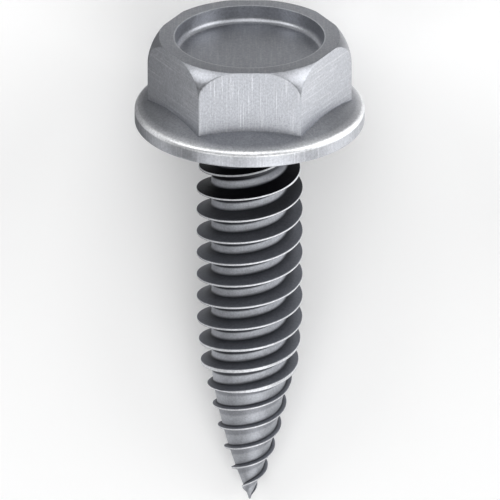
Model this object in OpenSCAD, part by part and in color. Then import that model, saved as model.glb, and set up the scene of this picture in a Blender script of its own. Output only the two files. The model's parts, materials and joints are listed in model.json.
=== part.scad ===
// Hexagon flange head tapping screw with a two-start thread, made in one piece.
// Its own axis is worked out upright, head up, with the bearing face at height 0.
// The last step lays it down as it comes to rest, on the flange and the thread.

/* [Head] */
// Height of the head, from the bearing face to the top
head_h = 4.15; // [3.6:0.05:5.5]
// Width of the hexagon across its flats
across_flats = 8; // [7.6:0.05:8.6]
// Diameter of the flat ring on top, where the rounded corners begin
top_d = 8.16; // [7.7:0.02:8.3]
// Radius of the dome that rounds the corners
dome_r = 1.85; // [1.6:0.05:2.4]
// Depth by which the corners are rounded off below the dome
corner_cut = 0.03; // [0.01:0.01:0.06]

/* [Recess] */
// Diameter of the recess in the top
recess_d = 6.76; // [5:0.02:7.2]
// Depth of the recess
recess_depth = 0.81; // [0.4:0.01:1.4]
// Radius between the recess's wall and its floor
recess_fillet = 0.3; // [0.1:0.02:0.38]

/* [Flange] */
// Diameter of the flange
flange_d = 10.4; // [9.8:0.05:12]
// Height at which the flange's slope meets its rim
flange_h = 0.73; // [0.6:0.01:1]
// Slope of the flange's upper side, in degrees
flange_slope = 24; // [15:1:32]
// Radius of the rim's upper edge
rim_round = 0.26; // [0.1:0.01:0.3]
// Radius of the rim's lower edge
rim_edge = 0.08; // [0.04:0.01:0.12]

/* [Shank] */
// Length from the bearing face to the tip
shank_l = 19; // [16:0.5:32]
// Diameter of the core between the threads
core_d = 3.45; // [3.1:0.05:3.7]
// Length of the tapered point
point_l = 6.6; // [5:0.1:8]
// How far the point's taper bulges, from 0 for a straight cone
point_bulge = 0.55; // [0:0.05:0.8]
// Space between the thread and the edge of the fillet under the head
neck_clear = 0.05; // [0.02:0.01:0.2]
// How far the fillet's foot stands out from the core
neck_step = 0.03; // [0.02:0.01:0.06]

/* [Thread] */
// Diameter over the crests
thread_d = 4.8; // [4.4:0.05:5]
// Distance from one crest to the next, along the axis
crest_pitch = 1.08; // [0.9:0.02:1.4]
// Number of threads that run side by side
starts = 2; // [1:1:3]
// Width of a crest
crest_w = 0.11; // [0.06:0.01:0.2]
// Angle of each flank, from square to the axis
flank_angle = 17.5; // [10:0.5:22]
// Plain length between the fillet under the head and the start of the thread
runout_gap = 0.1; // [0.05:0.05:0.8]
// Length over which it rises to its full height
runout_l = 1.75; // [1:0.05:3]
// Distance by which the crests start to come down before the point
cut_l = 2.7; // [1:0.1:4]
// Diameter over the crests where the point starts
cut_d = 4.36; // [4.1:0.02:4.38]
// Height of the thread along the point
point_depth = 0.22; // [0.1:0.01:0.3]
// Length over which the thread's height falls at the start of the point
fade_l = 0.7; // [0.5:0.1:2]
// Length over which it falls to nothing at the tip
tip_l = 1.3; // [0.6:0.1:2]
// Distance below the head of the first crest, at the middle of a flat
crest_at = 0.66; // [0:0.02:1.06]

/* [Rest] */
// How far the screw is turned about its own axis as it lies
rest_roll = 0; // [-30:1:30]

/* [Hidden] */

turn_facets = 40;
arc_facets = 6;
hex_sides = 6;
metal = [0.60, 0.62, 0.66];

// Distance within which a corner counts as lying at an end of the shank
end_snap = 0.04;
// How far the shank's root runs up inside the head
root_l = flange_h;
// Turn of the flange about its axis, so that it lies on the middle of a facet
flange_turn = 2.5;

thread_lead = starts * crest_pitch;
full_depth = (thread_d - core_d) / 2;
point_from = shank_l - point_l;
corner_r = across_flats / 2 / cos(180 / hex_sides);
neck_r = thread_d / 2 + neck_clear;
neck_fillet = neck_r - core_d / 2 - neck_step;
runout_from = neck_fillet + runout_gap;

// Points of an arc about a centre, from one angle to another
function arc(centre, radius, from, to) =
    [for (i = [0 : arc_facets])
        let (a = from + (to - from) * i / arc_facets)
        centre + radius * [cos(a), sin(a)]];

// Radius of the core at a depth below the head
function core_r(depth) =
    let (u = max(0, (depth - point_from) / point_l))
    core_d / 2 * (1 - u) * (1 + point_bulge * u);

// Height of the thread before its crest is cut down
function fin_depth(depth) =
    let (rise = min(1, max(0, (depth - runout_from) / runout_l)))
    let (fade = min(1, max(0, (depth - point_from) / fade_l)))
    let (tip = (shank_l - depth) / tip_l)
    (full_depth + (point_depth - full_depth) * fade) * min(rise, tip);

// Height of the thread that is left under its crest
function crest_depth(depth) =
    let (cut = full_depth - (thread_d - cut_d) / 2 * max(0, (depth - point_from) / cut_l + 1))
    max(0, min(fin_depth(depth), cut + core_d / 2 - core_r(depth)));

// The thread's section, as side of the crest and share of its height, going down
section = [[-1, 0], [-1, 1], [1, 1], [1, 0]];
section_points = len(section);
// Share of a cut crest's extra width that its land takes up
land_share = 0.8;

// Half the width of the thread at its foot, or at its crest
function half_width(depth, share) =
    let (fin = fin_depth(depth))
    let (cut = share == 0 ? fin : land_share * (fin - crest_depth(depth)))
    crest_w / 2 + cut * tan(flank_angle);

// Crests above the bearing face, enough for the first one to lie beyond the root
crests_above = ceil(root_l / crest_pitch) + starts + 1;
rows = section_points * (crests_above + ceil(shank_l / crest_pitch) + starts + 1);

// Share of a full turn at a step, with half a step added, so that the threads too lie
// on the middle of a facet
function turn_share(step) = (step + 0.5) / turn_facets;

// Depth of a crest's middle, for a row of the section and a step round the turn
function crest_mid(row, step) =
    (floor(row / section_points) - crests_above) * crest_pitch
    + crest_at - thread_lead * (turn_share(step) - 0.75);

function row_depth(row, step) =
    let (mid = crest_mid(row, step))
    let (part = section[row % section_points])
    mid + part[0] * half_width(min(mid, shank_l), part[1]);

// Corner of the shank's skin, as a point
function skin_point(row, step) =
    let (depth = row_depth(row, step))
    let (part = section[row % section_points])
    let (r = core_r(min(depth, shank_l)) + part[1] * crest_depth(min(depth, shank_l)))
    let (a = 360 * turn_share(step))
    [r * cos(a), r * sin(a), -depth];

// Number of that corner: the root's ring comes first, then the tip, then the rows.
// After a full turn a thread has risen by its lead, so it meets an earlier row.
function skin_index(row, step) =
    step == turn_facets ? skin_index(row - starts * section_points, 0) :
    row < 0 || row_depth(row, step) < end_snap - root_l ? step :
    row_depth(row, step) > shank_l - end_snap ? turn_facets :
    turn_facets + 1 + row * turn_facets + step;

function whole(t) = t[0] != t[1] && t[1] != t[2] && t[2] != t[0];

module threaded_shank() {
    ring = [for (j = [0 : turn_facets - 1])
        let (a = 360 * turn_share(j))
        [core_d / 2 * cos(a), core_d / 2 * sin(a), root_l]];
    skin = [for (i = [0 : rows - 1], j = [0 : turn_facets - 1]) skin_point(i, j)];
    sides = [for (i = [0 : rows - 2], j = [0 : turn_facets - 1])
        let (a = skin_index(i, j), b = skin_index(i, j + 1))
        let (c = skin_index(i + 1, j + 1), d = skin_index(i + 1, j))
        each [[a, b, c], [a, c, d]]];
    lid = [for (j = [turn_facets - 1 : -1 : 0]) j];
    polyhedron(
        points = concat(ring, [[0, 0, -shank_l]], skin),
        faces = concat([lid], [for (t = sides) if (whole(t)) t]),
        convexity = 12
    );
}

// Flange with its rounded rim, and the fillet that leads down to the shank
module flange() {
    rim_r = flange_d / 2;
    lower = [rim_r - rim_edge, rim_edge];
    upper_tangent = rim_round * tan((90 - flange_slope) / 2);
    upper = [rim_r - rim_round, flange_h - upper_tangent];
    hex_top = flange_h + (rim_r - across_flats / 4) * tan(flange_slope);
    rotate([0, 0, flange_turn]) rotate_extrude($fn = 96)
        polygon(concat(
            [[0, -neck_fillet]],
            arc([neck_r, -neck_fillet], neck_fillet, 180, 90),
            arc(lower, rim_edge, -90, 0),
            arc(upper, rim_round, 0, 90 - flange_slope),
            [[across_flats / 4, hex_top], [0, hex_top]]
        ));
}

// Hexagon whose corners are rounded by a dome
module hexagon() {
    dome_at = corner_r - corner_cut - dome_r;
    dome_end = acos((top_d / 2 - dome_at) / dome_r);
    dome_z = head_h - dome_r * sin(dome_end);
    intersection() {
        cylinder(r = corner_r, h = head_h, $fn = hex_sides);
        rotate_extrude($fn = 96)
            polygon(concat(
                [[0, flange_h / 2], [dome_at + dome_r, flange_h / 2]],
                arc([dome_at, dome_z], dome_r, 0, dome_end),
                [[0, head_h]]
            ));
    }
}

// Shallow round recess in the top, cut a little above it
module recess() {
    floor_z = head_h - recess_depth;
    over = 1;
    rotate_extrude($fn = 96)
        polygon(concat(
            [[0, floor_z]],
            arc([recess_d / 2 - recess_fillet, floor_z + recess_fillet], recess_fillet, -90, 0),
            [[recess_d / 2, head_h + over], [0, head_h + over]]
        ));
}

module head() {
    difference() {
        union() {
            flange();
            hexagon();
        }
        recess();
    }
}

// Angle at which a line that touches the rim also touches the crests at the point
rim_to_crest = [flange_d / 2 - rim_edge - cut_d / 2, point_from + rim_edge];
rest_tilt = atan2(rim_to_crest[0], rim_to_crest[1]) + asin(rim_edge / norm(rim_to_crest));

module screw() {
    color(metal)
        rotate([rest_tilt - 90, 0, 0])
            rotate([0, 0, rest_roll]) {
                head();
                threaded_shank();
            }
}

screw();
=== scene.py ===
# %% [markdown]
# # A tapping screw with a hexagon head and a flange
#
# The screw is one piece of steel: the head is pressed cold from wire, and two threads
# are rolled round the shank. The CAD model is loaded first, because it fixes where the
# screw lies and how big it is. Everything after it is worked out in millimetres about
# the screw's own upright axis, and laid down and turned into metres at the very end.

# %% Load the CAD model as the frame
import json
import bpy
import numpy as np
from mathutils import Matrix, Vector


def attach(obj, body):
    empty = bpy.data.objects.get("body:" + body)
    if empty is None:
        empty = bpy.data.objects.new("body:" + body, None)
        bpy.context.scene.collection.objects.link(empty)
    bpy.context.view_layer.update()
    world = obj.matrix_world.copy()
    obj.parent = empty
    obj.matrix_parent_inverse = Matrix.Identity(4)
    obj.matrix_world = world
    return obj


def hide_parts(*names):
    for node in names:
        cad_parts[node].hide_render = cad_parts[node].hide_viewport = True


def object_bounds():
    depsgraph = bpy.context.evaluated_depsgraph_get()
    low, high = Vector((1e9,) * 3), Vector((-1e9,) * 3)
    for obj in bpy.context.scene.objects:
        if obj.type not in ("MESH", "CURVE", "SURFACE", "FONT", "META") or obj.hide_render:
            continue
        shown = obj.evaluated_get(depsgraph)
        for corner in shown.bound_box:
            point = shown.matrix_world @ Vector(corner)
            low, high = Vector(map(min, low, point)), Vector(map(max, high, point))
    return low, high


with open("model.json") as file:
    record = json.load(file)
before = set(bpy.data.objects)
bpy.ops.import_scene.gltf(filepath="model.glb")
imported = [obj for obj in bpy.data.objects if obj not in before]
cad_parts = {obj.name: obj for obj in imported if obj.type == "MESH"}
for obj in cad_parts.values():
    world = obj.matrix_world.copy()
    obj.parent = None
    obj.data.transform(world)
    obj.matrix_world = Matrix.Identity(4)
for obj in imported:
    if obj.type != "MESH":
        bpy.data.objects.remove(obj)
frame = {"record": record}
MM = 0.001
cad_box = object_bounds()
print("CAD box, mm:", [[round(c / MM, 2) for c in corner] for corner in cad_box])

# %% [markdown]
# ## The sizes
#
# These are the sizes of the solid, so that the finished skin lies where the solid does.
# Only the small roundings are new. A real edge is never sharp, and a rounding of a few
# hundredths of a millimetre is what catches the light along it. A Bevel modifier could
# round the edges of a rough mesh, but then nothing would hold the flat faces flat, so
# the roundings are part of the shape here.

# %% Sizes of the head
HEAD_H = 4.15  # from the bearing face to the top
ACROSS_FLATS = 8.0
TOP_D = 8.16  # the flat ring on top, where the dome over the corners begins
DOME_R = 1.85
CORNER_CUT = 0.012  # how far the hexagon's corners are cut back
RECESS_D = 6.76
RECESS_DEPTH = 0.81
RECESS_FILLET = 0.3
FLANGE_D = 10.4
FLANGE_H = 0.73  # where the flange's slope would meet its rim
FLANGE_SLOPE = 24
RIM_ROUND = 0.26
RIM_EDGE = 0.08
EDGE_SOFT = 0.04  # rounding of all other edges
print("head:", HEAD_H, "mm high,", FLANGE_D, "mm across the flange")

# %% Sizes of the shank and its threads
SHANK_L = 19.0
CORE_D = 3.45
POINT_L = 6.6
POINT_BULGE = 0.55  # 0 would make the point a straight cone
NECK_R = 2.45  # where the fillet under the head meets the bearing face
THREAD_D = 4.8
CREST_PITCH = 1.08  # from one crest to the next
STARTS = 2  # threads side by side
CREST_W = 0.11
FLANK_SPREAD = np.tan(np.radians(17.5))
RUNOUT_FROM = 0.795  # depth at which the threads begin to rise
RUNOUT_L = 1.75
CUT_L = 2.7  # the crests come down over this length before the point
CUT_D = 4.36  # and are this wide where the point starts
POINT_DEPTH = 0.22  # height of the threads along the point
FADE_L = 0.7
TIP_L = 1.3
CREST_AT = 0.66  # depth of the first crest at the middle of the front flat
LAND_SHARE = 0.8  # how much of a cut crest's extra width is flat
UPPER_ROOT_SOFT = 0.11
LOWER_ROOT_SOFT = 0.05
CREST_SOFT = 0.03
print("shank:", SHANK_L, "mm long,", THREAD_D, "mm over the crests")

# %% Sizes that follow from them
FLAT = ACROSS_FLATS / 2
CORNER_R = FLAT / np.cos(np.pi / 6)
FLANGE_R = FLANGE_D / 2
RECESS_R = RECESS_D / 2
NECK_FILLET = NECK_R - CORE_D / 2
POINT_FROM = SHANK_L - POINT_L
FULL_DEPTH = (THREAD_D - CORE_D) / 2
LEAD = STARTS * CREST_PITCH
print("corner radius", round(CORNER_R, 3), "mm; thread height", round(FULL_DEPTH, 3), "mm")

# %% [markdown]
# ## One grid for the whole skin
#
# Head and shank are one piece of metal. They could be two meshes joined by a Boolean
# modifier, which leaves long thin triangles and a seam. Here one grid covers both:
# columns run round the axis, and rows run from the middle of the recess over the head
# and down the shank to the tip. The columns crowd together at the six corners of the
# hexagon, where the skin turns through 60 degrees within a tenth of a millimetre, and
# spread out over the flats.

# %% Columns round the axis
# Both lists are in degrees, from a corner of the hexagon to the middle of a flat.
near_corner = np.array([0, 0.14, 0.24, 0.29, 0.6, 1.7])
over_flat = np.linspace(4.3, 30, 11)
half_sector = np.concatenate([near_corner, over_flat])
sector = np.concatenate([half_sector, 60 - half_sector[-2:0:-1]])
turn = np.radians((sector + 60 * np.arange(6)[:, None]).ravel())
COLUMNS = len(turn)
print("columns round the axis:", COLUMNS)


# %% Outline of the hexagon
def hexagon_radius(angle):
    """Distance from the axis to a hexagon whose corners are cut by a cylinder.

    A flat is a straight line, so the distance is the flat's own over the cosine of the
    angle from its middle, and no more than the cylinder's radius."""
    off_flat = angle % (np.pi / 3) - np.pi / 6
    return np.minimum(FLAT / np.cos(off_flat), CORNER_R - CORNER_CUT)


hexagon = hexagon_radius(turn)
print("hexagon from", round(hexagon.min(), 3), "to", round(hexagon.max(), 3), "mm")

# %% [markdown]
# ## The profile of the head
#
# A lathe, or Blender's Screw modifier, would turn one profile round the axis. Here each
# column has its own, because the dome that rounds the corners meets the flats at another
# height in each column. A profile is a chain of points, as distance from the axis and
# height above the bearing face. It starts in the middle of the recess and ends at the
# foot of the fillet under the flange.


# %% Pieces of a profile
def arc(centre, radius, start, end, steps=14):
    """Points of an arc in every column: centre + radius (cos a, sin a), with the angle
    a in equal steps from start to end, in degrees."""
    a = np.radians(np.linspace(start, end, steps + 1))[:, None] * np.ones(COLUMNS)
    return np.stack([centre[0] + radius * np.cos(a), centre[1] + radius * np.sin(a)], 2)


def corner(r, z):
    """One corner of the profile in every column, at distance r and height z."""
    return np.stack(np.broadcast_arrays(r, z, turn)[:2], 1)[None]


def cone_height(r):
    """Height of the flange's sloping top at distance r: a straight line that rises
    toward the axis from the rim."""
    return FLANGE_H + (FLANGE_R - r) * np.tan(np.radians(FLANGE_SLOPE))


print("the cone meets the middle of a flat at", round(cone_height(FLAT), 2), "mm")


# %% The dome over the corners
def dome(steps=18):
    """The dome from the flat ring on top down to where it runs out on the hexagon.

    It is an arc whose end differs from column to column: the angle at which its
    distance from the axis, d + r cos(a), is that of the hexagon."""
    middle = CORNER_R - CORNER_CUT - DOME_R
    top = np.arccos((TOP_D / 2 - middle) / DOME_R)
    run_out = np.arccos(np.clip((hexagon - middle) / DOME_R, -1, 1))
    a = top + (np.minimum(run_out, top) - top) * np.linspace(0, 1, steps + 1)[:, None]
    r = np.minimum(middle + DOME_R * np.cos(a), hexagon)
    return np.stack([r, HEAD_H + DOME_R * (np.sin(a) - np.sin(top))], 2)


print("the dome comes down to", round(dome()[-1, :, 1].min(), 2), "mm at the corners")

# %% Put the profile together
RING_ANCHOR = 3.75  # distance from the axis of a fixed row on the flat ring
CONE_ANCHOR = 4.78  # and of one on the cone
floor_z = HEAD_H - RECESS_DEPTH
rim_drop = RIM_ROUND * np.tan(np.radians((90 - FLANGE_SLOPE) / 2))
inside = [
    corner(0, floor_z),
    arc((RECESS_R - RECESS_FILLET, floor_z + RECESS_FILLET), RECESS_FILLET, -90, 0),
    corner(RECESS_R, HEAD_H),
    corner(RING_ANCHOR, HEAD_H),
]
sides = [
    dome(),
    corner(hexagon, cone_height(hexagon)),
    corner(CONE_ANCHOR, cone_height(CONE_ANCHOR)),
]
under = [
    arc((FLANGE_R - RIM_ROUND, FLANGE_H - rim_drop), RIM_ROUND, 90 - FLANGE_SLOPE, 0),
    arc((FLANGE_R - RIM_EDGE, RIM_EDGE), RIM_EDGE, 0, -90),
    arc((NECK_R, -NECK_FILLET), NECK_FILLET, 90, 180),
]
chain = np.concatenate(inside + sides + under)
anchors = np.cumsum([sum(map(len, part)) for part in (inside, sides)]) - 1
print("points in a profile:", len(chain), "fixed ones:", anchors)

# %% [markdown]
# ## Rounding the edges and spacing the rows
#
# Two steps turn the chain of points into rows of the grid. First each point is replaced
# by the mean of the chain over a short window. Straight stretches stay as they are, and
# each corner becomes a small rounding. Then the rows are set so that each step holds
# the same share of length and of turning together. Rows at even distances would either
# miss the roundings or be far too many. These crowd where the profile bends and spread
# out on flat faces, and the shading of flat faces stays clean.


# %% Tools that work on all columns at once
def read_along(station, values, wanted):
    """Reads values at wanted places by straight lines between stations, column by
    column. The columns are set end to end on one long line, so one call reads all."""
    shift = (station[-1].max() + 1) * np.arange(COLUMNS)
    line = [(a + shift).T.ravel() for a in (wanted, station)]
    return np.interp(*line, values.T.ravel()).reshape(wanted.T.shape).T


def sum_up(steps):
    """Running total down each column, from 0."""
    return np.concatenate([np.zeros((1, COLUMNS)), np.cumsum(steps, axis=0)])


def running_mean(values, reach):
    """Mean over reach neighbours on each side. Past its ends the column carries on as
    its own mirror image through the end point, so the ends stay where they are."""
    padded = np.pad(values, [(reach, reach), (0, 0)], mode="reflect", reflect_type="odd")
    total, window = sum_up(padded), 2 * reach + 1
    return (total[window:] - total[:-window]) / window


print("three steps of 1 sum up to", sum_up(np.ones((3, COLUMNS)))[:, 0].tolist())

# %% The profile in fine steps, with its edges rounded
FINE_STEPS = 3000
station = sum_up(np.linalg.norm(np.diff(chain, axis=0), axis=2))
fine = np.linspace(0, 1, FINE_STEPS + 1)[:, None] * station[-1]
fine_step = station[-1].mean() / FINE_STEPS
reach = round(EDGE_SOFT / 2 / fine_step)
r_fine, z_fine = (
    running_mean(read_along(station, chain[..., axis], fine), reach) for axis in (0, 1)
)
print("fine step", round(fine_step, 4), "mm; window of", 2 * reach + 1, "points")

# %% How much of a row each fine step is worth
FLAT_STEP = 0.42  # a row at least every so many millimetres
BEND_STEP = np.radians(8)  # and for every so much turning
NEAR_BEND_STEP = np.radians(16)  # with more rows close to a bend
NEAR_BEND = 0.1
heading = np.unwrap(np.arctan2(np.diff(z_fine, axis=0), np.diff(r_fine, axis=0)), axis=0)
bend = running_mean(np.abs(np.diff(heading, axis=0)), 2 * reach)
bend = np.pad(bend, [(1, 1), (0, 0)], mode="edge")
near_bend = running_mean(bend, round(NEAR_BEND / fine_step))
effort = bend[:-1] / BEND_STEP + near_bend[:-1] / NEAR_BEND_STEP
effort = sum_up(np.maximum(effort, 0) + np.diff(fine, axis=0) / FLAT_STEP)
print("worth of a profile, in rows:", int(effort[-1].min()), "to", int(effort[-1].max()))

# %% Rows over the head
ROW_COUNTS = (32, 44, 46)  # in the recess, over the sides, and round the rim
bounds = read_along(fine, effort, np.stack([station[m] for m in (0, *anchors, -1)]))
wanted = np.concatenate([
    low + (high - low) * np.linspace(0, 1, count, endpoint=False)[:, None]
    for low, high, count in zip(bounds[:-1], bounds[1:], ROW_COUNTS)
] + [bounds[-1:]])
head_r, head_z = (read_along(effort, v, wanted)[1:] for v in (r_fine, z_fine))
HEAD_ROWS = len(head_r)
print("rows over the head:", HEAD_ROWS, "lowest", round(head_z.min(), 3), "mm")

# %% [markdown]
# ## The threads
#
# Two ribs wind round the shank side by side. Cut along the axis, each shows a narrow
# crest, two steep flanks and a soft fillet where it meets the core. The fillets matter:
# without them a thread looks cut out of paper. A section could be carried along a helix
# and joined to a plain core, which would leave a seam all along the thread. Here the
# rows of the grid follow the ribs, so a row sinks by one lead in a turn and joins, where
# the turn closes, the row that lies as many crests further up as there are threads.


# %% Core and height of the threads
def core_radius(depth):
    """Radius of the core: constant along the shank, then (1 - u)(1 + b u) times that,
    with u from 0 to 1 along the point and b its bulge."""
    u = np.maximum(0, (depth - POINT_FROM) / POINT_L)
    return CORE_D / 2 * (1 - u) * (1 + POINT_BULGE * u)


def fin_depth(depth):
    """Height of a thread before its crest is cut. It rises in a straight line under the
    head, falls at the start of the point, and falls again to nothing at the tip."""
    rise = np.clip((depth - RUNOUT_FROM) / RUNOUT_L, 0, 1)
    fade = np.clip((depth - POINT_FROM) / FADE_L, 0, 1)
    height = FULL_DEPTH + (POINT_DEPTH - FULL_DEPTH) * fade
    return height * np.minimum(rise, (SHANK_L - depth) / TIP_L)


def crest_depth(depth):
    """Height that is left under the crest: the lesser of the thread's own height and
    that of a cone which cuts the crests down toward the point."""
    from_cut = np.maximum(0, (depth - POINT_FROM) / CUT_L + 1)
    cut = FULL_DEPTH - (THREAD_D - CUT_D) / 2 * from_cut + CORE_D / 2 - core_radius(depth)
    return np.maximum(0, np.minimum(fin_depth(depth), cut))


for depth in (6, 14, 18):
    print(depth, "mm down: core", round(core_radius(depth), 2), "thread",
          round(float(crest_depth(depth)), 2), "mm")

# %% Middle of each crest
CRESTS_ABOVE = 2  # crests that start above the bearing face and are folded away
crests = CRESTS_ABOVE + int(np.ceil(SHANK_L / CREST_PITCH)) + STARTS + 1
middle = (np.arange(crests + 1)[:, None] - CRESTS_ABOVE) * CREST_PITCH + CREST_AT
middle = middle - LEAD * (turn / (2 * np.pi) - 0.75)
print("crests along the shank:", crests)


# %% Corners of a thread's section
def section_corner(side, share):
    """A corner of the section, as depth and radius, for each crest and column: half a
    width to one side of the crest's middle, at a share of the thread's height."""
    at = np.minimum(middle, SHANK_L)
    cut = fin_depth(at) if share == 0 else LAND_SHARE * (fin_depth(at) - crest_depth(at))
    depth = middle + side * (CREST_W / 2 + cut * FLANK_SPREAD)
    at = np.minimum(depth, SHANK_L)
    return np.stack([depth, core_radius(at) + share * crest_depth(at)], 2)


upper_foot, upper_edge = section_corner(-1, 0), section_corner(-1, 1)
lower_edge, lower_foot = section_corner(1, 1), section_corner(1, 0)
root_depth = middle - CREST_PITCH / 2
root = np.stack([root_depth, core_radius(np.minimum(root_depth, SHANK_L))], 2)
next_root = np.roll(root, -1, axis=0)
foot_width = (lower_foot - upper_foot)[..., 0].max()
print("widest foot of a thread:", round(float(foot_width), 2), "mm")


# %% A rounded corner
TINY = 1e-9  # keeps a length from being 0


def rounded(before, point, after, soft, steps, most=0.45):
    """Rounds a corner by a parabola: (1 - t)^2 A + 2 t (1 - t) C + t^2 B, from a point
    A a little before the corner C to a point B a little after it. Neither is further
    off than a share, most, of the way to the next corner."""
    ends = []
    for other in (before, after):
        away = other - point
        length = np.maximum(np.linalg.norm(away, axis=2, keepdims=True), TINY)
        ends.append(point + away * np.minimum(most, soft / length))
    t = np.linspace(0, 1, steps + 1)[:, None, None, None]
    return (1 - t) ** 2 * ends[0] + 2 * t * (1 - t) * point + t**2 * ends[1]


square = np.array([[0.0, 1.0], [0.0, 0.0], [1.0, 0.0]])[:, None, None]
print("a square corner, rounded:", rounded(*square, 0.2, 2).reshape(-1, 2).round(3).tolist())

# %% Rows of a section
LEAST_SHARE = 0.04  # keeps a little of the fillet where the thread is very low
FOOT_STEPS, CREST_STEPS = 4, 3
ON_CORE = (0.55, 0.8)  # shares of the way from the lower foot to the next root
low = np.maximum(fin_depth(np.minimum(middle, SHANK_L)) / FULL_DEPTH, LEAST_SHARE)
root_soft = UPPER_ROOT_SOFT * np.sqrt(low)[..., None]
pieces = [
    root[None],
    rounded(root, upper_foot, upper_edge, root_soft, FOOT_STEPS),
    (upper_foot + upper_edge)[None] / 2,
    rounded(upper_foot, upper_edge, lower_edge, CREST_SOFT, CREST_STEPS),
    rounded(upper_edge, lower_edge, lower_foot, CREST_SOFT, CREST_STEPS),
    rounded(lower_edge, lower_foot, next_root, LOWER_ROOT_SOFT, FOOT_STEPS),
    *((lower_foot + (next_root - lower_foot) * share)[None] for share in ON_CORE),
]
section = np.concatenate(pieces)[:, :crests]
SECTION_ROWS = len(section)
section = section.transpose(1, 0, 2, 3).reshape(crests * SECTION_ROWS, COLUMNS, 2)
thread_depth, thread_r = section[..., 0], section[..., 1]
print("rows down the shank:", len(thread_r), "widest", round(thread_r.max(), 3), "mm")

# %% [markdown]
# ## From rows to one closed mesh
#
# Every point of the grid gets a number. A row of the thread that would start above the
# fillet's foot takes the numbers of the foot's ring instead, and one that would end
# beyond the tip takes the tip's. Triangles that shrink to a line by that are dropped.
# Merging doubles by distance would do the same less surely, because points at a real
# edge lie close together too. What is left is closed, which the count of open edges
# proves.

# %% Number the points
POLE, RING = 0, 1 + (HEAD_ROWS - 1) * COLUMNS
FIRST_THREAD = RING + COLUMNS
TIP = FIRST_THREAD + thread_r.size
END_SNAP = 0.03  # a row this close to an end counts as lying at it

ring = RING + np.arange(COLUMNS)
head_index = 1 + np.arange(HEAD_ROWS * COLUMNS).reshape(HEAD_ROWS, COLUMNS)
head_index = np.hstack([head_index, head_index[:, :1]])
thread_index = FIRST_THREAD + np.arange(thread_r.size).reshape(thread_r.shape)
thread_index = np.where(thread_depth < NECK_FILLET + END_SNAP, ring, thread_index)
thread_index = np.where(thread_depth > SHANK_L - END_SNAP, TIP, thread_index)
print("rows of the grid:", HEAD_ROWS + len(thread_index) + 2)

# %% Join the rows where the turn closes
further_up = STARTS * SECTION_ROWS
joins = np.full((further_up, 1), ring[0])
joins = np.concatenate([joins, thread_index[:-further_up, :1]])
thread_index = np.hstack([thread_index, joins])
ends = [np.full((1, COLUMNS + 1), number) for number in (POLE, TIP)]
grid = np.vstack([ends[0], head_index, thread_index, ends[1]])
print("grid:", grid.shape[0], "by", grid.shape[1])

# %% Make the triangles
a, b, c, d = grid[:-1, :-1], grid[:-1, 1:], grid[1:, 1:], grid[1:, :-1]
triangles = np.concatenate([np.stack(t, -1).reshape(-1, 3) for t in ((a, d, c), (a, c, b))])
same = triangles == np.roll(triangles, 1, axis=1)
triangles = triangles[~same.any(axis=1)]
used, triangles = np.unique(triangles, return_inverse=True)
triangles = triangles.reshape(-1, 3)
print("triangles:", len(triangles), "on", len(used), "points")


# %% Set the points upright
def stood_up(r, z):
    """Points (r cos a, r sin a, z) for every row and column, with a the column's turn."""
    return np.stack([r * np.cos(turn), r * np.sin(turn), z], -1).reshape(-1, 3)


upright = np.concatenate([
    [[0, 0, floor_z]],
    stood_up(head_r, head_z),
    stood_up(thread_r, -thread_depth),
    [[0, 0, -SHANK_L]],
])[used]
print("from", round(upright[:, 2].min(), 2), "to", round(upright[:, 2].max(), 2), "mm")

# %% Check that the skin is closed
pairs = [triangles[:, [0, 1]], triangles[:, [1, 2]], triangles[:, [2, 0]]]
edges = np.sort(np.concatenate(pairs))
counts = np.unique(edges[:, 0] * len(used) + edges[:, 1], return_counts=True)[1]
p0, p1, p2 = (upright[triangles[:, k]] for k in range(3))
print("open edges:", int((counts != 2).sum()))
print("volume, mm3:", round(float((p0 * np.cross(p1, p2)).sum() / 6), 1))

# %% [markdown]
# ## Marks for the finish and for painted light and shade
#
# The finish differs from place to place. Flats carry the scratches of a socket. Painted
# shade darkens the roots, flanks, top, cone and foot of the hexagon, painted light
# brightens the core, and painted highlights brighten the crests and the rim. Such places
# could be painted on an image, but the rows and columns already say where each place
# is. So each point gets a few numbers from 0 to 1, which move with the skin, and the
# material reads them.


# %% A soft step
def smooth(value, low, high):
    """Rises softly from 0 at low to 1 at high, as 3 t^2 - 2 t^3."""
    t = np.clip((value - low) / (high - low), 0, 1)
    return t * t * (3 - 2 * t)


print("a soft step, a quarter of the way:", smooth(0.25, 0, 1))

# %% The flats of the hexagon
NEAR = 0.004  # a point this close to a face counts as lying on it
BELOW_TOP = 0.05  # and the flats count from this far below the top
CLEAR_OF_CORNER = (0.3, 0.7)  # degrees over which the scratches set in
AXIAL_FLATS = (1, 4)  # flats that the socket scratched along the axis
SIXTH = np.pi / 3
off_corner = SIXTH / 2 - np.abs(turn % SIXTH - SIXTH / 2)
on_flat = (np.abs(head_r - hexagon) < NEAR) & (head_z < HEAD_H - BELOW_TOP)
flat_mark = on_flat * smooth(np.degrees(off_corner), *CLEAR_OF_CORNER)
axial_flat = np.isin((turn // SIXTH).astype(int), AXIAL_FLATS)
print("points on flats:", int(on_flat.sum()))


# %% The foot of the hexagon, darkened by painted shade
def fading_shade(distance, strength, reach):
    """Painted shade that thins out with distance: strength times e^(-distance / reach)."""
    return strength * np.exp(-np.maximum(0, distance) / reach)


CONE_SKIN = 0.02  # a point this little above the cone counts as lying on it
CONE_FROM = 0.5  # lowest height on the cone
over_cone = head_z - cone_height(head_r)
on_cone = (over_cone < CONE_SKIN) & (head_r > hexagon) & (head_z > CONE_FROM)
# Painted shade: the flats darken toward their foot, and the cone toward the hexagon.
foot = (fading_shade(over_cone, 0.35, 0.6) + fading_shade(over_cone, 0.3, 0.12)) * on_flat
foot = foot + fading_shade(head_r - hexagon, 0.5, 0.15) * on_cone
print("points on the cone:", int(on_cone.sum()), "dirty ones:", int((foot > 0.3).sum()))

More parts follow.
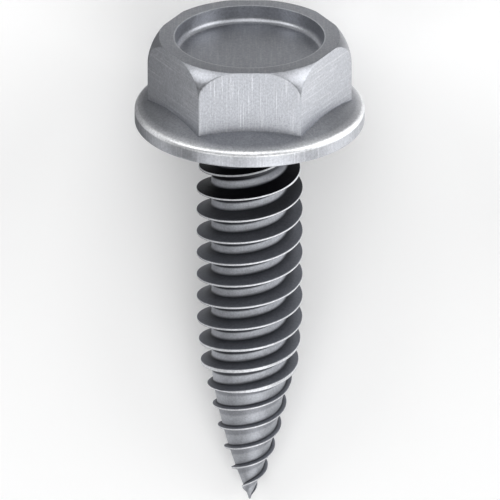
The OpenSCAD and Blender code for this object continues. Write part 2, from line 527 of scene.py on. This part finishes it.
# %% The top, the rim and the neck
FLOOR_TO, OFF_WALL = 0.4, 0.2  # the recess's floor counts to this far from top and wall
OFF_EDGE = 0.05  # and the ring on top begins this far outside the wall
RIM_SKIN = 0.02  # a point this close to the flange's radius lies on the rim
RIM_HIGHLIGHT_IN = (0.2, 0.12)  # distances inside it over which the painted highlight on its edge sets in
RIM_HEIGHTS = (0.5, 0.6)  # and the heights over which it does
NECK_DARK = (0.1, 0.6)  # depths over which painted shadow of the flange darkens the fillet under the head
in_recess = (head_z < HEAD_H - FLOOR_TO) & (head_r < RECESS_R - OFF_WALL)
in_recess = in_recess & (head_z > floor_z - NEAR)
on_ring = (head_z > HEAD_H - NEAR) & (head_r > RECESS_R + OFF_EDGE)
top = in_recess | on_ring
rim = (head_r > FLANGE_R - RIM_SKIN) & (head_z < FLANGE_H)
# A painted highlight along the upper rounding of the rim.
rim_highlight = smooth(head_r, *(FLANGE_R - inward for inward in RIM_HIGHLIGHT_IN))
rim_highlight = rim_highlight * smooth(head_z, *RIM_HEIGHTS)
# Painted shadow of the flange on the fillet under the head.
neck = smooth(-head_z, *NECK_DARK)
print("points on top:", int(top.sum()), "on the rim:", int(rim.sum()))

# %% [markdown]
# ## Marks along the threads
#
# A die rolls the threads. The marks paint light and shade on them: a painted highlight
# along the crests, painted shade on the flanks, and near-black painted shade in the roots
# and just under the crests. The marks are given for one section, row by row, and repeated
# for every crest. Those below the crests fade toward the tip, where the ribs are low.
# Under the head lies a stretch in painted shadow of the flange, dark all round, and the
# first flanks below it are painted black. Noise could scatter them, but they follow the
# shape.

# %% Marks of one section
# The rows are: 0 the root, 1 to 5 the upper foot, 6 the middle of the upper flank,
# 7 to 10 the upper edge of the crest, 11 to 14 its lower edge, 15 to 19 the lower
# foot, and 20 and 21 the core below it. The three lists are a painted highlight on the
# crest, painted shade on the flanks, and near-black painted shade in the root and just
# under the crest.
crest_highlight, shade, crease_shade = np.zeros((3, SECTION_ROWS))
crest_highlight[9:13] = 0, 0.65, 0.65, 0
shade[:11] = 0, 0.05, 0.4, 0.8, 1, 1, 1, 1, 1, 1, 0.2
shade[11:] = 0.2, 0.8, 1, 1, 1, 1, 1, 1, 1, 1, 0.1
crease_shade[2:7] = 0.3, 0.7, 0.8, 0.6, 0.2
crease_shade[18:21] = 0.3, 0.6, 0.7
print("rows of a section:", SECTION_ROWS, "dark ones:", int((shade > 0.5).sum()))

# %% Marks on all threads
LOWER_SIDE = 13  # first row that belongs to the lower side only
FAINT = 0.25  # share of its marks that the lower side keeps on a low thread
RIB_STARTS, RIB_TALL = (0.0, 0.06), (0.24, 0.55)  # heights, in millimetres
rib = crest_depth(np.minimum(thread_depth, SHANK_L))
height, tall = smooth(rib, *RIB_STARTS), smooth(rib, *RIB_TALL)
lower = np.tile(np.arange(SECTION_ROWS) >= LOWER_SIDE, crests)[:, None]
fading = np.where(lower, FAINT + (1 - FAINT) * tall, 1.0)
crest_highlight, shade, crease_shade = (
    np.tile(values, crests)[:, None] * height * fading for values in (crest_highlight, shade, crease_shade)
)
print("mean shade along the threads:", round(float(shade.mean()), 2))

# %% The painted shadow under the head
SHADOW_TO, SHADOW_FADE = 3, 1.3  # the painted shadow keeps the flanks black down to here, and fades over this length
FLANGE_SHADE_ENDS = (1.8, 2.5)  # depths between which the painted shadow of the flange ends
# Painted shadow of the flange: black on the first flanks, dark all round just under the
# head.
head_shadow = np.exp(-np.maximum(0, thread_depth - SHADOW_TO) / SHADOW_FADE)
flange_shade = 1 - smooth(thread_depth, *FLANGE_SHADE_ENDS)
print("oil down to", round(float(thread_depth[head_shadow > 0.05].max()), 1), "mm")


# %% Gather the marks
def gathered(on_head, on_thread=0.0):
    """One value for each used point: the pole, the head, the threads and the tip."""
    parts = [
        np.zeros(1),
        (on_head * np.ones_like(head_r)).ravel(),
        (on_thread * np.ones_like(thread_r)).ravel(),
        np.zeros(1),
    ]
    return np.concatenate(parts)[used].astype(np.float32)


# crest and edge are painted highlights, shade and under are painted shade, core is painted
# light; the steel also paints shade where top and cone lie.
marks = {
    "crest": gathered(0.0, crest_highlight),
    "shade": gathered(np.maximum(foot, neck), np.maximum(shade, flange_shade)),
    "axial": gathered(np.maximum(flat_mark * axial_flat, rim)),
    "across": gathered(flat_mark * ~axial_flat),
    "top": gathered(top),
    "edge": gathered(rim_highlight),
    "cone": gathered(on_cone),
    "rolled": gathered(0.0, 1.0),
    "core": gathered(0.0, tall),
    "under": gathered(0.0, np.maximum(head_shadow * shade, crease_shade)),
}
marks["top"][POLE] = 1
print("points:", len(used), "marks:", list(marks))

# %% [markdown]
# ## Laying the screw down
#
# The record of the CAD model says which way the bearing face looks. The screw's axis is
# the opposite of that, and one turn about X brings the upright screw onto it. The
# object could be turned instead of its points, but then its patterns would turn with
# it, so the points themselves are laid down and the object stays at the origin.

# %% Lay the points down
face = next(m for m in frame["record"]["mounts"] if m["name"] == "bearing_face")
axis = -Vector(face["axis"]).normalized()
tilt = np.arctan2(axis.z, axis.y)
lay_down = Matrix.Rotation(tilt - np.pi / 2, 3, "X")
laid = upright @ np.array(lay_down).T * MM
print("tilt of the axis:", round(float(np.degrees(tilt)), 2), "degrees")


# %% Build the piece
def link(name, data):
    """An object for the data, put into the scene."""
    made = bpy.data.objects.new(name, data)
    bpy.context.scene.collection.objects.link(made)
    return made


mesh = bpy.data.meshes.new("screw_skin")
mesh.from_pydata(laid.tolist(), [], triangles.tolist())
mesh.shade_smooth()
for name, values in marks.items():
    mesh.attributes.new(name, "FLOAT", "POINT").data.foreach_set("value", values)
mesh.update()
screw = link("screw_skin", mesh)
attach(screw, "root")
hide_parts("screw")
print("piece:", screw.name, "with", len(mesh.polygons), "faces")

# %% [markdown]
# ## The steel
#
# Cold-headed steel with a thin zinc coat is a satin metal, a little blue, with a grain
# of a few hundredths of a millimetre. One metallic shader makes all of it. Separate
# materials for crests, roots and flats would meet at hard borders, while one that
# blends its colours by the marks passes softly from one finish to the next. Nodes are
# many here, so a few helpers come first, one for each kind.


# %% Helpers for nodes
def new_material(name):
    """An empty material and its node tree."""
    material = bpy.data.materials.new(name)
    material.use_nodes = True
    material.node_tree.nodes.clear()
    return material, material.node_tree


def put(tree, kind, inputs=None, **settings):
    """Adds a node. Each input takes either a plain value or another node's output."""
    node = tree.nodes.new(kind)
    for name, value in settings.items():
        setattr(node, name, value)
    for key, value in (inputs or {}).items():
        if isinstance(value, bpy.types.NodeSocket):
            tree.links.new(value, node.inputs[key])
        else:
            node.inputs[key].default_value = value
    return node


def blend(tree, factor, first, second, mode="MIX"):
    """Mixes two colours and returns the result."""
    inputs = {0: factor, 6: first, 7: second}
    return put(tree, "ShaderNodeMix", inputs, data_type="RGBA", blend_type=mode).outputs[2]


def reckon(tree, operation, first, second=0.0, third=0.0):
    """One sum on numbers and returns the result."""
    inputs = {0: first, 1: second, 2: third}
    return put(tree, "ShaderNodeMath", inputs, operation=operation).outputs[0]


def remap(tree, value, low, high, to_low=0.0, to_high=1.0, ease="LINEAR"):
    """Carries the range from low to high over to another, and stops at its ends."""
    inputs = {0: value, 1: low, 2: high, 3: to_low, 4: to_high}
    return put(tree, "ShaderNodeMapRange", inputs, interpolation_type=ease).outputs[0]


def noise(tree, place, scale, detail, roughness=0.5):
    """Cloudy noise, with so many features to a millimetre."""
    inputs = {"Vector": place, "Scale": scale, "Detail": detail, "Roughness": roughness}
    return put(tree, "ShaderNodeTexNoise", inputs).outputs[0]


helpers = (new_material, put, blend, reckon, remap, noise)
print("helpers for nodes:", [helper.__name__ for helper in helpers])

# %% [markdown]
# ## Grain, scratches and colours
#
# The grain is fine noise, read at each point's place on the upright screw, in
# millimetres. A scratch is the same noise drawn out along one line and cut off below a
# threshold, and the marks say where it shows. An image would need the skin unwrapped,
# and would blur close up. Grain and scratches change the colour a little, the roughness
# a little, and the relief, because on metal the eye finds them by their glints.

# %% Where the patterns lie
steel, tree = new_material("satin_steel")
object_place = put(tree, "ShaderNodeTexCoord").outputs["Object"]
upright_again = {
    "Vector": object_place,
    "Rotation": (np.pi / 2 - tilt, 0, 0),
    "Scale": (1 / MM,) * 3,
}
place = put(tree, "ShaderNodeMapping", upright_again).outputs[0]
mark = {
    name: put(tree, "ShaderNodeAttribute", attribute_name=name).outputs["Fac"]
    for name in marks
}
print("marks that the steel reads:", len(mark))


# %% Grain and scratches
def streaks(scale, low, high):
    """Fine lines: noise that is stretched by its scale along each axis, kept only
    where it passes a threshold that rises from low to high."""
    stretched = put(tree, "ShaderNodeMapping", {"Vector": place, "Scale": scale}).outputs[0]
    return remap(tree, noise(tree, stretched, 1.0, 2.0), low, high, ease="SMOOTHSTEP")


TOP_SCRATCHES = 0.35  # how strong they are on top, against those on the flats
grain = noise(tree, place, 10.0, 3.0, roughness=0.75)
clouds = noise(tree, place, 1.6, 3.0)
axial = streaks((13.0, 13.0, 0.4), 0.5, 0.74)
across = streaks((0.4, 0.4, 13.0), 0.5, 0.74)
along_top = streaks((12.0, 0.7, 1.0), 0.45, 0.8)
scratches = reckon(tree, "MULTIPLY", axial, mark["axial"])
scratches = reckon(tree, "MULTIPLY_ADD", across, mark["across"], scratches)
on_top = reckon(tree, "MULTIPLY", mark["top"], TOP_SCRATCHES)
scratches = reckon(tree, "MULTIPLY_ADD", along_top, on_top, scratches)
print("nodes for grain and scratches:", len(tree.nodes))

# %% Colours
STEEL = (0.42, 0.432, 0.463, 1)
CORE_LIGHT = (0.53, 0.545, 0.585, 1)  # painted light that brightens the core in its groove
TOP_SHADE = (0.27, 0.279, 0.303, 1)  # painted shade on the top
DARK = (0.18, 0.189, 0.213, 1)  # painted shade at the hexagon's foot, on the flanks and under the head
# Near-black painted shade in the roots, under the crests and on the first flanks under the
# head.
DEEP_SHADE = (0.01, 0.01, 0.012, 1)
BRIGHT = (0.86, 0.87, 0.89, 1)  # scratches, and the painted highlight on crests and rim
# How much painted shade darkens the cone.
CONE_SHADE = 0.3
SCRATCH_BRIGHT = 0.24
NOISE_SPAN = (0.3, 0.7)  # noise mostly stays between these
GRAIN_TONES, CLOUD_TONES = (0.8, 1.2), (0.97, 1.03)  # and makes the metal darker or paler
mottle = remap(tree, grain, *NOISE_SPAN, *GRAIN_TONES)
patches = remap(tree, clouds, *NOISE_SPAN, *CLOUD_TONES)
# Painted shade darkens the top and the cone, painted light brightens the core, painted shade
# darkens flanks, roots and the hexagon's foot, and a painted highlight brightens crests and
# rim.
top_and_cone_shade = reckon(tree, "MULTIPLY_ADD", mark["cone"], CONE_SHADE, mark["top"])
crest_and_rim_highlight = reckon(tree, "MAXIMUM", mark["crest"], mark["edge"])
colour = blend(tree, top_and_cone_shade, STEEL, TOP_SHADE)
colour = blend(tree, reckon(tree, "MULTIPLY", scratches, SCRATCH_BRIGHT), colour, BRIGHT)
colour = blend(tree, mark["core"], colour, CORE_LIGHT)
colour = blend(tree, mark["shade"], colour, DARK)
colour = blend(tree, mark["under"], colour, DEEP_SHADE)
colour = blend(tree, crest_and_rim_highlight, colour, BRIGHT)
colour = blend(tree, 1.0, colour, reckon(tree, "MULTIPLY", mottle, patches), "MULTIPLY")
print("nodes with the colours:", len(tree.nodes))

# %% Roughness, relief and the shader
PLAIN_ROUGH, ROLLED_ROUGH, CONE_ROUGH = 0.38, 0.2, 0.04  # the last two are added
GRAIN_ROUGH = (-0.05, 0.05)
RELIEF_MM, RELIEF_STRENGTH = 0.02, 0.3
SCRATCH_RELIEF = 0.6  # height of a scratch's edge, against the grain's
rough = reckon(tree, "MULTIPLY_ADD", mark["rolled"], ROLLED_ROUGH, PLAIN_ROUGH)
rough = reckon(tree, "MULTIPLY_ADD", mark["cone"], CONE_ROUGH, rough)
rough = reckon(tree, "ADD", remap(tree, grain, *NOISE_SPAN, *GRAIN_ROUGH), rough)
relief = {
    "Strength": RELIEF_STRENGTH,
    "Distance": RELIEF_MM * MM,
    "Height": reckon(tree, "MULTIPLY_ADD", scratches, SCRATCH_RELIEF, grain),
}
surface = {
    "Base Color": colour,
    "Metallic": 1.0,
    "Roughness": rough,
    "Normal": put(tree, "ShaderNodeBump", relief).outputs[0],
}
shader = put(tree, "ShaderNodeBsdfPrincipled", surface)
put(tree, "ShaderNodeOutputMaterial", {"Surface": shader.outputs[0]})
mesh.materials.append(steel)
print("nodes in the steel:", len(tree.nodes))

# %% [markdown]
# ## The floor
#
# The screw lies on a pale sheet, as small parts do for a catalogue. A plane of white
# would clip wherever the light is a little stronger, so the sheet stays just under
# white and keeps the soft shadow. A faint glow lifts it to the white of the background.
# Only the camera, and rays that a mirror or glass sends on, see the glow, so that it
# adds no light to the screw.


# %% What only the eye sees
def seen_directly(tree):
    """1 for rays from the camera, from a mirror or through glass, and 0 for the rays
    that carry light from one dull surface to another."""
    ray = put(tree, "ShaderNodeLightPath").outputs
    seen = reckon(tree, "MAXIMUM", ray["Is Camera Ray"], ray["Is Glossy Ray"])
    return reckon(tree, "MAXIMUM", seen, ray["Is Transmission Ray"])


# %% A flat sheet at the floor's height
def sheet(name, outline, height):
    """A flat piece of the stage, from the corners of its outline at a height, all in
    metres."""
    flat = bpy.data.meshes.new(name)
    corners = [(x, y, height) for x, y in outline]
    flat.from_pydata(corners, [], [list(range(len(corners)))])
    made = link(name, flat)
    return made


floor_height = cad_box[0].z
print("the floor lies at", round(floor_height / MM, 3), "mm")

# %% The floor
FLOOR_R = 6.0
FLOOR_SIDES = 96
FLOOR_TONE = 0.97
FLOOR_GLOW = 0.03
rounds = np.linspace(0, 2 * np.pi, FLOOR_SIDES, endpoint=False)
outline = np.stack([np.cos(rounds), np.sin(rounds)], 1) * FLOOR_R
floor = sheet("floor", outline.tolist(), floor_height)
paper, tree = new_material("pale_paper")
matt = put(tree, "ShaderNodeBsdfDiffuse", {"Color": (FLOOR_TONE,) * 3 + (1,)})
glow = reckon(tree, "MULTIPLY", seen_directly(tree), FLOOR_GLOW)
glow = put(tree, "ShaderNodeEmission", {"Color": (1, 1, 1, 1), "Strength": glow})
both = put(tree, "ShaderNodeAddShader", {0: matt.outputs[0], 1: glow.outputs[0]})
put(tree, "ShaderNodeOutputMaterial", {"Surface": both.outputs[0]})
floor.data.materials.append(paper)
print("floor:", 2 * FLOOR_R, "m across")

# %% [markdown]
# ## Light
#
# Metal shows what it mirrors, so the light is set by what each face should mirror. Five
# wide, soft lights stand round the screw: the front one brightens the flat that looks
# up, the right one the flat beside it, the left one the rim and the corner of the dome,
# and the side one fills the gap that would darken the middle of the core. The back one
# keeps the shadow soft. Area lamps would do too, but their light would fall off across
# the screw, and a far disc has the same strength all over. Together with the air around
# they add up to about 1 on the floor, so that a colour looks as it is written.


# %% A soft light
def soft_light(name, azimuth, elevation, width, radiance):
    """A soft disc of light far away, with its angles in degrees. Its strength is its
    radiance times the disc's apparent size, pi sin^2 of half its width."""
    lamp = bpy.data.lights.new(name, "SUN")
    lamp.angle = np.radians(width)
    lamp.energy = radiance * np.pi * np.sin(lamp.angle / 2) ** 2
    a, e = np.radians(azimuth), np.radians(elevation)
    toward = Vector((np.cos(a) * np.cos(e), np.sin(a) * np.cos(e), np.sin(e)))
    lit = link(name, lamp)
    lit.rotation_mode = "QUATERNION"
    lit.rotation_quaternion = toward.to_track_quat("Z", "Y")
    share = lamp.energy * np.sin(e) / np.pi
    print(name, "adds", round(float(share), 3), "to a white floor")
    return share


# %% The lights
AMBIENT = 0.08  # the air around
total = AMBIENT
total += soft_light("front_light", -67, 35, 52, 2.6)
total += soft_light("side_light", -131, 40, 32, 2.2)
total += soft_light("back_light", 92, 55, 56, 1.65)
total += soft_light("left_light", 148, 28, 30, 3.3)
total += soft_light("right_light", 24, 24, 40, 2.7)
print("light on the floor:", round(float(total), 3))

# %% [markdown]
# ## The panel and the dark card
#
# A photographer sets a lit panel and a dark card beside shiny metal, so that one side
# mirrors light and the other dark, and the form can be read. The panel stands to the
# right of the head. Its light is linked to the screw alone, because a panel so close
# would draw its own edge on the floor. The card is painted shade for reflections: a dark
# sheet on the floor round the head, where the left-hand flat, the cone and the ring on
# top mirror it. It shows in reflections and nowhere else: the camera doesn't see it, it
# casts no shadow, and it takes no light from the floor.

# %% The panel beside the head
PANEL_SIZE = (24 * MM, 16 * MM)
PANEL_AT = Vector((14, -2, 3)) * MM
PANEL_RADIANCE = 0.8
lamp = bpy.data.lights.new("panel_light", "AREA")
lamp.shape = "RECTANGLE"
lamp.size, lamp.size_y = PANEL_SIZE
lamp.energy = PANEL_RADIANCE * np.pi * PANEL_SIZE[0] * PANEL_SIZE[1]
panel = link("panel_light", lamp)
panel.location = PANEL_AT
panel.rotation_mode = "QUATERNION"
panel.rotation_quaternion = Vector((1, 0, 0)).to_track_quat("Z", "Y")
panel.visible_camera = False
lit_by_panel = bpy.data.collections.new("lit_by_panel")
lit_by_panel.objects.link(screw)
panel.light_linking.receiver_collection = lit_by_panel
print("panel:", round(1000 * lamp.energy, 3), "mW")

# %% The dark card
CARD_LIFT = 0.02 * MM
# The card's tone, dark so that it puts painted shade into the reflections.
CARD_SHADE = (0.22, 0.22, 0.225, 1)
CARD = [
    (-15, -12), (-5, -12), (-5, 4), (-7, 7), (-7, 12), (7, 12),
    (7, 7), (9, 5), (20, 5), (20, 26), (-22, 26), (-22, 4),
]
outline = [(x * MM, y * MM) for x, y in CARD]
card = sheet("dark_card", outline, floor_height + CARD_LIFT)
card.visible_camera = card.visible_shadow = card.visible_diffuse = False
card_material, tree = new_material("reflected_shade")
matt = put(tree, "ShaderNodeBsdfDiffuse", {"Color": CARD_SHADE})
put(tree, "ShaderNodeOutputMaterial", {"Surface": matt.outputs[0]})
card.data.materials.append(card_material)
print("corners of the card:", len(CARD))

# %% [markdown]
# ## The air around
#
# The world gives a little even light, as the walls of a room do. From low down the
# camera would see its grey above the far edge of the floor, so just over the horizon
# it turns white for the camera and for reflections. A curved backdrop would do the same,
# but it would stand in the way when the camera goes round.

# %% The world
HORIZON = 1.0
HORIZON_BAND = (0.02, 0.05)  # heights, as sines, between which it fades
world = bpy.data.worlds.new("studio")
world.use_nodes = True
tree = world.node_tree
looked_at = put(tree, "ShaderNodeTexCoord").outputs["Generated"]
over_floor = put(tree, "ShaderNodeSeparateXYZ", {"Vector": looked_at}).outputs["Z"]
pale = remap(tree, over_floor, *HORIZON_BAND, HORIZON - AMBIENT, 0, ease="SMOOTHSTEP")
air = reckon(tree, "MULTIPLY_ADD", pale, seen_directly(tree), AMBIENT)
tree.links.new(air, tree.nodes["Background"].inputs["Color"])
bpy.context.scene.world = world
print("nodes in the world:", len(tree.nodes))

# %% [markdown]
# ## The camera
#
# The picture looks at the front flat from 25 degrees above square to the axis, with the
# axis upright and next to no perspective. So the camera stands far off with a long
# lens. Its place follows from one point, the middle of the bearing face, and from the
# number of pixels to a millimetre.

# %% The way the camera looks
LOOK_DOWN = np.radians(25)
DISTANCE = 900 * MM
right = Vector((1, 0, 0))
front = lay_down @ Vector((0, -1, 0))
back = front * np.cos(LOOK_DOWN) + axis * np.sin(LOOK_DOWN)
up = axis * np.cos(LOOK_DOWN) - front * np.sin(LOOK_DOWN)
print("the camera looks from", [round(c, 2) for c in back])

# %% The camera
FRAME_PX = 500
PX_PER_MM = 22.12
FACE_AT_PX = (249.6, 120.1)  # the middle of the bearing face, from the top left
FAR_END = 20  # beyond the far edge of the floor
aim = right * (FRAME_PX / 2 - FACE_AT_PX[0]) - up * (FRAME_PX / 2 - FACE_AT_PX[1])
aim *= MM / PX_PER_MM
camera = link("camera", bpy.data.cameras.new("camera"))
camera.data.lens = camera.data.sensor_width * DISTANCE / (FRAME_PX / PX_PER_MM * MM)
camera.data.clip_end = FAR_END
camera.location = aim + back * DISTANCE
camera.rotation_mode = "QUATERNION"
camera.rotation_quaternion = Matrix((right, up, back)).transposed().to_quaternion()
bpy.context.scene.camera = camera
bpy.context.scene.view_settings.view_transform = "Standard"
print("lens:", round(camera.data.lens), "mm")
